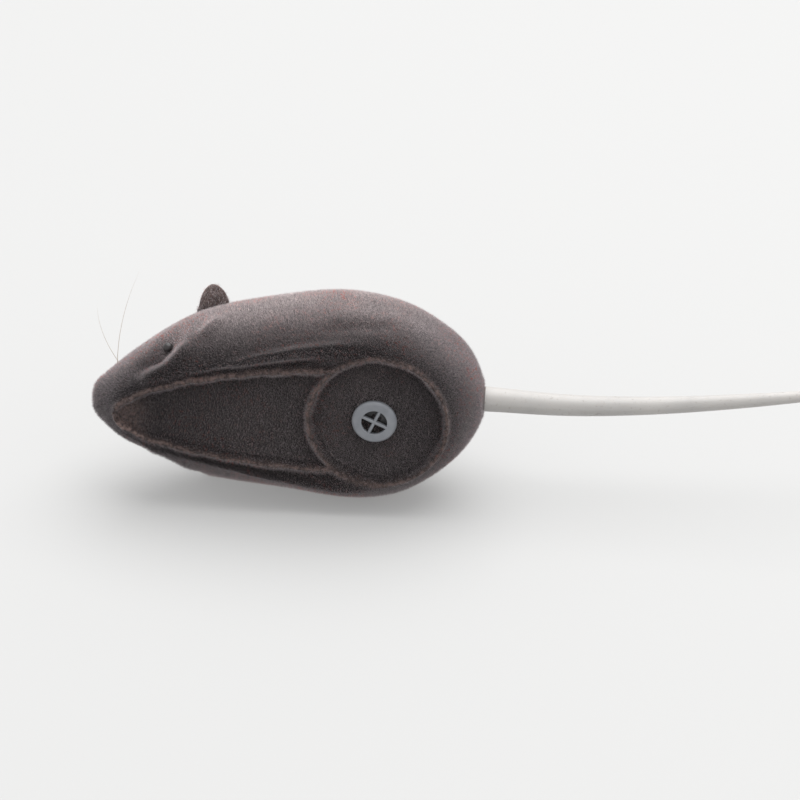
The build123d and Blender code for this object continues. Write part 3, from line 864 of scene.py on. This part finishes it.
# %% Lay out the tail
tail_joints = [joint_at[f"tail_bend_{number}"] for number in range(1, 6)]
plug_low, plug_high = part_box("tail_plug")
tip_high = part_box("tail_link_5")[1]
RUMP_X = tail_joints[0].x - 2.0 * MM
TIP_RADIUS = 0.45
tail_root = Vector((RUMP_X, tail_joints[0].y, MIDDLE_Z))
tail_tip = Vector((tip_high.x - TIP_RADIUS * MM, tail_joints[0].y, tip_high.z - TIP_RADIUS * MM))
tail_line = [tail_root, *tail_joints, tail_tip]
link_boxes = [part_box(f"tail_link_{number}") for number in range(1, 6)]
link_radii = [(high.y - low.y) / 2 for low, high in link_boxes]
TAIL_ROOT_RADIUS = link_radii[0] * 1.03
tail_radii = [TAIL_ROOT_RADIUS, *link_radii, TIP_RADIUS * MM]
TAIL_LINK = 12.5  # about a link's length, in millimetres
TAIL_STEP = 0.3 * MM
TAIL_AROUND = 48


def smooth_between(values, place):
    """A smooth curve through values at 0, 1, 2 ..., read at a place between them."""
    number = min(int(place), len(values) - 2)
    share = place - number
    before = values[max(number - 1, 0)]
    start, end = values[number], values[number + 1]
    after = values[min(number + 2, len(values) - 1)]
    return (
        start * 2 + (end - before) * share + (before * 2 - start * 5 + end * 4 - after) * share ** 2
        + (start * 3 - before - end * 3 + after) * share ** 3
    ) * 0.5


def tail_ring(place, radius=None):
    """A ring round the tail at a place on its line, with the mould's faint parting ridge on both sides."""
    middle = smooth_between(tail_line, place)
    before = smooth_between(tail_line, max(place - 0.02, 0))
    way = (smooth_between(tail_line, place + 0.02) - before).normalized()
    side = way.cross(Vector((0, 1, 0))).normalized()
    up = side.cross(way)
    size = smooth_between(tail_radii, place) if radius is None else radius
    ring = []
    for step in range(TAIL_AROUND):
        turn = 2 * math.pi * step / TAIL_AROUND
        ridge = 0.035 * MM * math.exp(-((math.sin(turn) / 0.12) ** 2)) * size / TAIL_ROOT_RADIUS
        ring.append(middle + (side * math.sin(turn) + up * math.cos(turn)) * (size + ridge))
    return ring


def tail_places(first, last):
    """Evenly spaced places on the tail's line from first to last."""
    steps = max(round((last - first) * TAIL_LINK * MM / TAIL_STEP), 2)
    return [first + (last - first) * step / steps for step in range(steps + 1)]


def make_tail_vinyl():
    """Soft grey vinyl: satin, a little see-through, with faint flow marks and dust."""
    material, tree, shader, place = new_material("tail_vinyl")
    cloud = noise(tree, place, 9.0, 3.0)
    grey = ramp(tree, cloud, [(0.3, (0.335, 0.325, 0.315)), (0.7, (0.400, 0.385, 0.370))])
    specks = ramp(tree, noise(tree, place, 0.5, 1.0), [(0.24, (0.80, 0.78, 0.76)), (0.36, (1, 1, 1))])
    tree.links.new(blend_colours(tree, 1.0, grey, specks, "MULTIPLY"), shader.inputs["Base Color"])
    gloss = ramp(tree, noise(tree, place, 2.0, 3.0), [(0.3, (0.36, 0.36, 0.36)), (0.7, (0.48, 0.48, 0.48))])
    tree.links.new(gloss, shader.inputs["Roughness"])
    shader.inputs["Subsurface Weight"].default_value = 0.25
    shader.inputs["Subsurface Radius"].default_value = (0.9, 0.8, 0.7)
    shader.inputs["Subsurface Scale"].default_value = 0.0012
    bump(tree, shader, noise(tree, place, 1.1, 2.0), 0.03, 0.5)
    return material


tail_vinyl = make_tail_vinyl()
print("tail line", [round((b - a).length / MM, 1) for a, b in zip(tail_line, tail_line[1:])], "mm")

# %% Build the tail's pieces
NECK_RADIUS = 1.5 * MM
HEAD_RADIUS = (plug_high.z - plug_low.z) / 2
HEAD_END = plug_low.x


def flat_ring(x, radius):
    """A ring across the tail's root, at x."""
    return [point + Vector((x - RUMP_X, 0, 0)) for point in tail_ring(0.0, radius)]


def root_rings():
    """The plug inside the shell: a rounded head, a neck, and the shoulder that sits on the rump."""
    neck_start = HEAD_END + 1.6 * MM
    soft = 0.25 * MM
    return [
        flat_ring(HEAD_END, HEAD_RADIUS - soft),
        flat_ring(HEAD_END + soft, HEAD_RADIUS),
        flat_ring(neck_start - soft, HEAD_RADIUS),
        flat_ring(neck_start, HEAD_RADIUS - soft),
        flat_ring(neck_start + 0.02 * MM, NECK_RADIUS),
        flat_ring(RUMP_X - 0.3 * MM, NECK_RADIUS),
        flat_ring(RUMP_X - 0.1 * MM, TAIL_ROOT_RADIUS - soft),
        flat_ring(RUMP_X, TAIL_ROOT_RADIUS - 0.05 * MM),
    ]


def tip_rings():
    """The rounded end of the tail."""
    way = (tail_tip - tail_joints[-1]).normalized()
    rings = []
    for step in range(1, 7):
        lean = math.pi / 2 * step / 7
        ring = tail_ring(len(tail_line) - 1, TIP_RADIUS * MM * math.cos(lean))
        rings.append([point + way * TIP_RADIUS * MM * math.sin(lean) for point in ring])
    return rings


def shade_caps(piece, caps):
    """Marks the edges of flat closing faces sharp, so that they don't bend the shading beside them."""
    work = bmesh.new()
    work.from_mesh(piece.data)
    work.verts.ensure_lookup_table()
    for vertex_number in caps:
        for face in work.verts[vertex_number].link_faces:
            for edge in face.edges:
                if work.verts[vertex_number] not in edge.verts:
                    edge.smooth = False
    work.to_mesh(piece.data)
    work.free()


def make_tail_piece(number):
    """A stretch of the tail round one joint, from mid stretch to mid stretch."""
    first = 0.0 if number == 1 else number - 0.5
    last = len(tail_line) - 1.0 if number == 5 else number + 0.5
    rings = [tail_ring(place) for place in tail_places(first, last)]
    if number == 1:
        rings = root_rings() + rings[1:]
    if number == 5:
        rings += tip_rings()
    middles = [sum(ring, Vector()) / TAIL_AROUND for ring in (rings[0], rings[-1])]
    if number == 5:
        middles[1] = tail_tip + (tail_tip - tail_joints[-1]).normalized() * TIP_RADIUS * MM
    points, faces = rings_to_tube(rings, *middles)
    piece = new_piece(f"tail_part_{number}", points, faces, tail_vinyl)
    face_outwards(piece)
    caps = [len(points) - 2] + ([len(points) - 1] if number < 5 else [])
    shade_caps(piece, caps)
    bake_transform(piece)
    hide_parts(*(["tail_plug"] if number == 1 else []), f"tail_link_{number}")
    return piece


tail_pieces = [make_tail_piece(number) for number in range(1, 6)]
print("tail pieces:", [len(piece.data.polygons) for piece in tail_pieces], "faces")

# %% [markdown]
# ## The squeaker
# The squeaker's plug is a small injection moulding: a bevelled flange, a barrel behind it that holds the
# reed, and a cross that keeps fingers and fluff out. The body is turned from a profile, as on a lathe,
# with every edge a little round, and the two bars are joined on. The reed and its two holders inside
# are the design model's own solids with better finishes.

# %% Squeaker materials
def make_moulded_plastic(name, low, high, roughness):
    """Moulded plastic with faint clouding, a fine grain and a satin shine."""
    material, tree, shader, place = new_material(name)
    cloud = noise(tree, place, 1.6, 3.0)
    tree.links.new(ramp(tree, cloud, [(0.3, low), (0.7, high)]), shader.inputs["Base Color"])
    dull = roughness + 0.12
    gloss = ramp(tree, noise(tree, place, 0.7, 2.0), [(0.3, (roughness,) * 3), (0.7, (dull,) * 3)])
    tree.links.new(gloss, shader.inputs["Roughness"])
    bump(tree, shader, noise(tree, place, 0.25, 2.0), 0.012, 0.6)
    return material


squeaker_plastic = make_moulded_plastic(
    "squeaker_plastic", (0.155, 0.163, 0.180), (0.195, 0.203, 0.220), roughness=0.36)
reed_holder_plastic = make_moulded_plastic(
    "reed_holder_plastic", (0.018, 0.018, 0.020), (0.035, 0.034, 0.036), roughness=0.5)
reed_film = make_moulded_plastic(
    "reed_film", (0.42, 0.40, 0.34), (0.55, 0.53, 0.47), roughness=0.2)
for node, material in (
    ("squeaker_reed_seat", reed_holder_plastic),
    ("squeaker_reed_clamp", reed_holder_plastic),
    ("squeaker_reed", reed_film),
):
    for material_slot in frame["nodes"][node].material_slots:
        material_slot.material = material
print("squeaker materials ready")

# %% Turn the squeaker's plug
housing_low, housing_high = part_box("squeaker_housing")
PLUG_X = (housing_low.x + housing_high.x) / 2
PLUG_Z = (housing_low.z + housing_high.z) / 2
FLANGE_RADIUS = (housing_high.x - housing_low.x) / 2 / MM
PLUG_LENGTH = (housing_high.y - housing_low.y) / MM
GRILLE_TURN = math.radians(25.5)
PLUG_AROUND = 128
BORE_RADIUS, BARREL_RADIUS, WINDOW_RADIUS = 2.2, 2.8, 1.95
BAR_WIDTH, BAR_DEPTH = 0.5, 0.6


def rounded(profile, radius, steps=4):
    """A closed profile with each of its corners rounded."""
    corners = []
    for number, corner in enumerate(profile):
        before = Vector(profile[number - 1]) - Vector(corner)
        after = Vector(profile[(number + 1) % len(profile)]) - Vector(corner)
        size = min(radius, before.length / 2.2, after.length / 2.2)
        start = Vector(corner) + before.normalized() * size
        end = Vector(corner) + after.normalized() * size
        for step in range(steps + 1):
            share = step / steps
            corners.append(start.lerp(Vector(corner), share).lerp(Vector(corner).lerp(end, share), share))
    return corners


def squeaker_point(radius, depth, turn):
    """A point on the squeaker: its radius, its depth behind the flange's face, and its turn."""
    x = PLUG_X + radius * math.cos(turn) * MM
    z = PLUG_Z + radius * math.sin(turn) * MM
    return Vector((x, housing_low.y + depth * MM, z))


def turn_profile(profile):
    """Points and faces of a closed ring of a given profile."""
    turns = [2 * math.pi * step / PLUG_AROUND for step in range(PLUG_AROUND)]
    points = [squeaker_point(radius, depth, turn) for turn in turns for radius, depth in profile]
    count = len(profile)
    faces = []
    for step in range(PLUG_AROUND):
        start, following = step * count, (step + 1) % PLUG_AROUND * count
        for number in range(count):
            beside = (number + 1) % count
            faces.append((start + number, start + beside, following + beside, following + number))
    return points, faces


def bar_ring(place, turn, drop):
    """The rounded section of a grille bar, at a place along it, its face drop behind the flange's."""
    section = [
        (-1, 0.35), (-0.85, 0.14), (-0.5, 0.0), (0.5, 0.0), (0.85, 0.14), (1, 0.35), (1, 1.0), (-1, 1.0),
    ]
    along = Vector((math.cos(turn), 0, math.sin(turn)))
    across = Vector((-math.sin(turn), 0, math.cos(turn)))
    centre = Vector((PLUG_X, housing_low.y, PLUG_Z))
    ring = []
    for side, depth in section:
        behind = Vector((0, drop + depth * (BAR_DEPTH - drop - 0.01), 0))
        spot = along * place + across * (side * BAR_WIDTH / 2) + behind
        ring.append(centre + spot * MM)
    return ring


plug_profile = rounded([
    (WINDOW_RADIUS, 0.0), (FLANGE_RADIUS - 0.32, 0.0), (FLANGE_RADIUS, 0.30), (FLANGE_RADIUS, 0.80),
    (BARREL_RADIUS, 0.80), (BARREL_RADIUS, 2.32), (BARREL_RADIUS + 0.45, 2.32), (BARREL_RADIUS, 3.22),
    (BARREL_RADIUS, PLUG_LENGTH), (BORE_RADIUS, PLUG_LENGTH), (BORE_RADIUS, BAR_DEPTH),
    (WINDOW_RADIUS, BAR_DEPTH),
], 0.09)
points, faces = turn_profile(plug_profile)
bar_reach = WINDOW_RADIUS + 0.1
for turn, drop in ((-GRILLE_TURN, 0.03), (math.pi / 2 - GRILLE_TURN, 0.05)):
    rings = [bar_ring(share * bar_reach, turn, drop) for share in (-1.0, -0.5, 0.0, 0.5, 1.0)]
    ends = [sum(ring, Vector()) / len(ring) for ring in (rings[0], rings[-1])]
    bar_points, bar_faces = rings_to_tube(rings, *ends)
    faces += [tuple(number + len(points) for number in face) for face in bar_faces]
    points += bar_points
squeaker_plug = new_piece("squeaker_plug", points, faces, squeaker_plastic)
face_outwards(squeaker_plug)
squeaker_plug.data.set_sharp_from_angle(angle=math.radians(40))
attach(squeaker_plug, "body")
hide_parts("squeaker_housing")
print("squeaker plug:", len(squeaker_plug.data.polygons), "faces, flange", round(2 * FLANGE_RADIUS, 2), "mm")

# %% [markdown]
# ## Eyes and whiskers
# The eyes are small black beads on studs, pushed into the hollows and dulled by dust. The whiskers are
# fine nylon hairs that taper to nothing, drawn as thin tubes round an arc from the snout to each tip.

# %% Eyes
eye_material, eye_tree, eye_shader, eye_place = new_material("eye_bead")
smudge_stops = [(0.35, (0.14, 0.14, 0.14)), (0.7, (0.34, 0.34, 0.34))]
smudge = ramp(eye_tree, noise(eye_tree, eye_place, 0.6, 2.0), smudge_stops)
eye_tree.links.new(smudge, eye_shader.inputs["Roughness"])
tint_stops = [(0.3, (0.018, 0.017, 0.018)), (0.7, (0.036, 0.032, 0.032))]
tint = ramp(eye_tree, noise(eye_tree, eye_place, 1.0), tint_stops)
eye_tree.links.new(tint, eye_shader.inputs["Base Color"])
eye_shader.inputs["Specular IOR Level"].default_value = 0.35
for node in ("eye_left", "eye_right"):
    for material_slot in frame["nodes"][node].material_slots:
        material_slot.material = eye_material

# %% Whiskers
HAIR_RADIUS = 0.045
HAIR_STEPS = 40
HAIR_AROUND = 8
HAIR_BEND = 0.9
hair_material, hair_tree, hair_shader, hair_place = new_material("whisker_hair")
streak_stops = [(0.3, (0.40, 0.33, 0.26)), (0.7, (0.62, 0.55, 0.46))]
streak = ramp(hair_tree, noise(hair_tree, hair_place, 0.8, 2.0), streak_stops)
hair_tree.links.new(streak, hair_shader.inputs["Base Color"])
hair_shader.inputs["Roughness"].default_value = 0.35


def hair_rings(root, tip, bend):
    """Rings along one hair, thick at the root and pointed at the tip."""
    rings = []
    for step in range(HAIR_STEPS + 1):
        share = step / HAIR_STEPS
        middle = root.lerp(tip, share) + Vector((-bend * MM * 4 * share * (1 - share), 0, 0))
        way = (tip - root) + Vector((-bend * MM * 4 * (1 - 2 * share), 0, 0))
        side = way.cross(Vector((0, 1, 0))).normalized()
        over = side.cross(way).normalized()
        size = HAIR_RADIUS * MM * (1 - 0.88 * share ** 1.3)
        turns = [2 * math.pi * k / HAIR_AROUND for k in range(HAIR_AROUND)]
        rings.append([middle + (side * math.cos(turn) + over * math.sin(turn)) * size for turn in turns])
    return rings


def make_whiskers(name, side, tips, node):
    """The hairs of one side as one piece."""
    points, faces = [], []
    root = at(3.4, 8.2, side * 3.6)
    for along, up, out in tips:
        tip = at(along, up, side * out)
        rings = hair_rings(root, tip, HAIR_BEND)
        hair_points, hair_faces = rings_to_tube(rings, root, tip)
        faces += [tuple(number + len(points) for number in face) for face in hair_faces]
        points += hair_points
        root = root + Vector((0.9, 0.5, 0)) * MM
    hairs = new_piece(name, points, faces, hair_material)
    face_outwards(hairs)
    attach(hairs, "body")
    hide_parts(node)
    return hairs


make_whiskers("whisker_hairs_left", LEFT, [(7.4, 8.9, 19.9), (0.7, 8.7, 14.0)], "whiskers_left")
make_whiskers("whisker_hairs_right", RIGHT, [(7.5, 16.5, 12.5), (4.5, 15.0, 9.5)], "whiskers_right")
print("whiskers ready")

# %% [markdown]
# ## Floor and light
# A plain floor that glows a little, like a light table, one broad soft light above and slightly behind,
# and a bright room all round.

# %% Floor, lights and world
FLOOR_SIZE = 3.0
LIGHT_HEIGHT = 0.9
floor_material, _, floor_shader, _ = new_material("studio_floor")
floor_shader.inputs["Base Color"].default_value = (0.285, 0.285, 0.283, 1.0)
floor_shader.inputs["Emission Color"].default_value = (1.0, 1.0, 0.995, 1.0)
floor_shader.inputs["Emission Strength"].default_value = 0.235
floor_shader.inputs["Roughness"].default_value = 0.8
half = FLOOR_SIZE / 2
corners = [(-half, -half, 0), (half, -half, 0), (half, half, 0), (-half, half, 0)]
floor = new_piece("floor", corners, [(0, 1, 2, 3)], floor_material, smooth=False)


def soft_light(name, place, size, power):
    """A square area light that looks at the mouse."""
    data = bpy.data.lights.new(name, "AREA")
    data.shape = "SQUARE"
    data.size = size
    data.energy = power
    light = bpy.data.objects.new(name, data)
    light.location = place
    light.rotation_euler = (Vector((0, 0, 0.01)) - Vector(place)).to_track_quat("-Z", "Y").to_euler()
    bpy.context.scene.collection.objects.link(light)
    return light


soft_light("top_back", (0.10, 0.20, LIGHT_HEIGHT), 1.2, 14.5)
world = bpy.data.worlds.new("room")
world.use_nodes = True
world.node_tree.nodes["Background"].inputs["Color"].default_value = (1.0, 1.0, 1.0, 1.0)
world.node_tree.nodes["Background"].inputs["Strength"].default_value = 1.05
bpy.context.scene.world = world
bpy.context.scene.view_settings.view_transform = "Standard"
print("studio ready")
